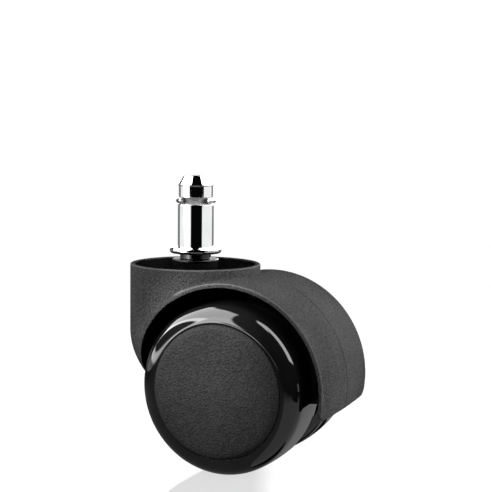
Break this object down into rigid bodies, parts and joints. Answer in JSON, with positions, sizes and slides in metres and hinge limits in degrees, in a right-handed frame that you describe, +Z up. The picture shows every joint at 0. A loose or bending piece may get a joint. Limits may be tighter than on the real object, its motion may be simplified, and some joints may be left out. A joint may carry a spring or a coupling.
{
  "type": "chair caster",
  "caption": "Swivelling twin-wheel chair caster: a plated grip-ring stem turns in a hooded housing, and two glossy wheels with flat matte caps spin on one axle.",
  "frame": {"origin": "on the stem's axis, on the upper face of the seat flange, where the caster meets the chair base", "axes": "+Z up the stem into the chair base, +X towards the trailing wheels, Y along the axle"},
  "size_m": [0.0697, 0.052, 0.0861],
  "materials": {
    "chrome": "bright chrome plate on turned steel",
    "spring_steel": "bright spring steel",
    "zinc_steel": "zinc-plated steel, satin",
    "axle_steel": "ground steel",
    "bearing_plastic": "natural acetal",
    "housing_plastic": "charcoal-black nylon with a fine moulded grain",
    "core_plastic": "black nylon, plain moulded",
    "tyre_gloss": "glossy black polyurethane",
    "cap_plastic": "black nylon with a fine leather-like grain"
  },
  "bodies": {
    "stem": {"stem": "chrome", "grip_ring": "spring_steel", "stem_keeper_ring": "spring_steel"},
    "housing": {"housing": "housing_plastic", "stem_socket": "zinc_steel", "seat_washer": "zinc_steel", "thrust_pad": "bearing_plastic", "axle": "axle_steel", "axle_bush_left": "bearing_plastic", "wheel_spacer_left": "zinc_steel", "axle_clip_left": "spring_steel", "axle_bush_right": "bearing_plastic", "wheel_spacer_right": "zinc_steel", "axle_clip_right": "spring_steel"},
    "wheel_left": {"wheel_core_left": "core_plastic", "hub_bush_left": "bearing_plastic", "tyre_left": "tyre_gloss", "wheel_cap_left": "cap_plastic"},
    "wheel_right": {"wheel_core_right": "core_plastic", "hub_bush_right": "bearing_plastic", "tyre_right": "tyre_gloss", "wheel_cap_right": "cap_plastic"}
  },
  "joints": [
    {"name": "swivel", "type": "hinge", "parent": "stem", "child": "housing", "pos_m": [0, 0, 0], "axis": [0, 0, 1], "continuous": true},
    {"name": "wheel_left_spin", "type": "hinge", "parent": "housing", "child": "wheel_left", "pos_m": [0.0183, 0, -0.0389], "axis": [0, 1, 0], "continuous": true},
    {"name": "wheel_right_spin", "type": "hinge", "parent": "housing", "child": "wheel_right", "pos_m": [0.0183, 0, -0.0389], "axis": [0, 1, 0], "continuous": true}
  ]
}
